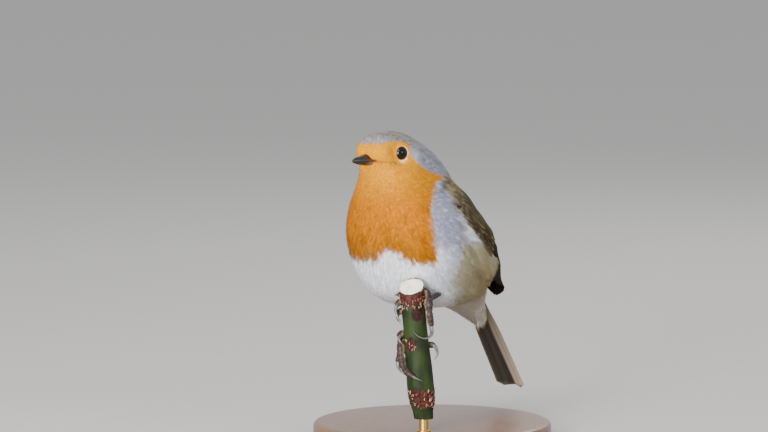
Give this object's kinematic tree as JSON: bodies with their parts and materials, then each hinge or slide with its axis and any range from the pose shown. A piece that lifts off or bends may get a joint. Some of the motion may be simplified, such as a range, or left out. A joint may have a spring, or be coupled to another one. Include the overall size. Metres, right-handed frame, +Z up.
{
  "type": "songbird model on a stand",
  "caption": "Life-size European robin gripping a cut rose stem, head and breast orange, tail down, on a round display stand.",
  "frame": {"origin": "centre of the underside of the stand's round base", "axes": "+Z up, -Y the way the bird faces, +X its left side"},
  "size_m": [0.092, 0.0964, 0.1196],
  "materials": {
    "plumage_orange": "matte feather",
    "plumage_back": "matte feather",
    "plumage_belly": "matte feather",
    "flight_feather": "satin feather",
    "eye": "polished, opaque black",
    "horn": "satin horn",
    "leg_scale": "satin scaled skin",
    "rose_bark": "smooth green bark",
    "turned_wood": "waxed",
    "brass": "brushed"
  },
  "bodies": {
    "root": {"bill_lower": "horn", "bill_upper": "horn", "claw_left_hind": "horn", "claw_left_inner": "horn", "claw_left_middle": "horn", "claw_left_outer": "horn", "claw_right_hind": "horn", "claw_right_inner": "horn", "claw_right_middle": "horn", "claw_right_outer": "horn", "eye_left": "eye", "eye_right": "eye", "head": "plumage_orange", "neck": "plumage_orange", "perch_stem": "rose_bark", "rump": "plumage_back", "stand_base": "turned_wood", "stand_rod": "brass", "tail": "flight_feather", "tarsus_left": "leg_scale", "tarsus_right": "leg_scale", "thigh_left": "plumage_belly", "thigh_right": "plumage_belly", "toe_left_hind": "leg_scale", "toe_left_inner": "leg_scale", "toe_left_middle": "leg_scale", "toe_left_outer": "leg_scale", "toe_right_hind": "leg_scale", "toe_right_inner": "leg_scale", "toe_right_middle": "leg_scale", "toe_right_outer": "leg_scale", "trunk": "plumage_belly", "wing_left": "flight_feather", "wing_right": "flight_feather"}
  },
  "joints": []
}
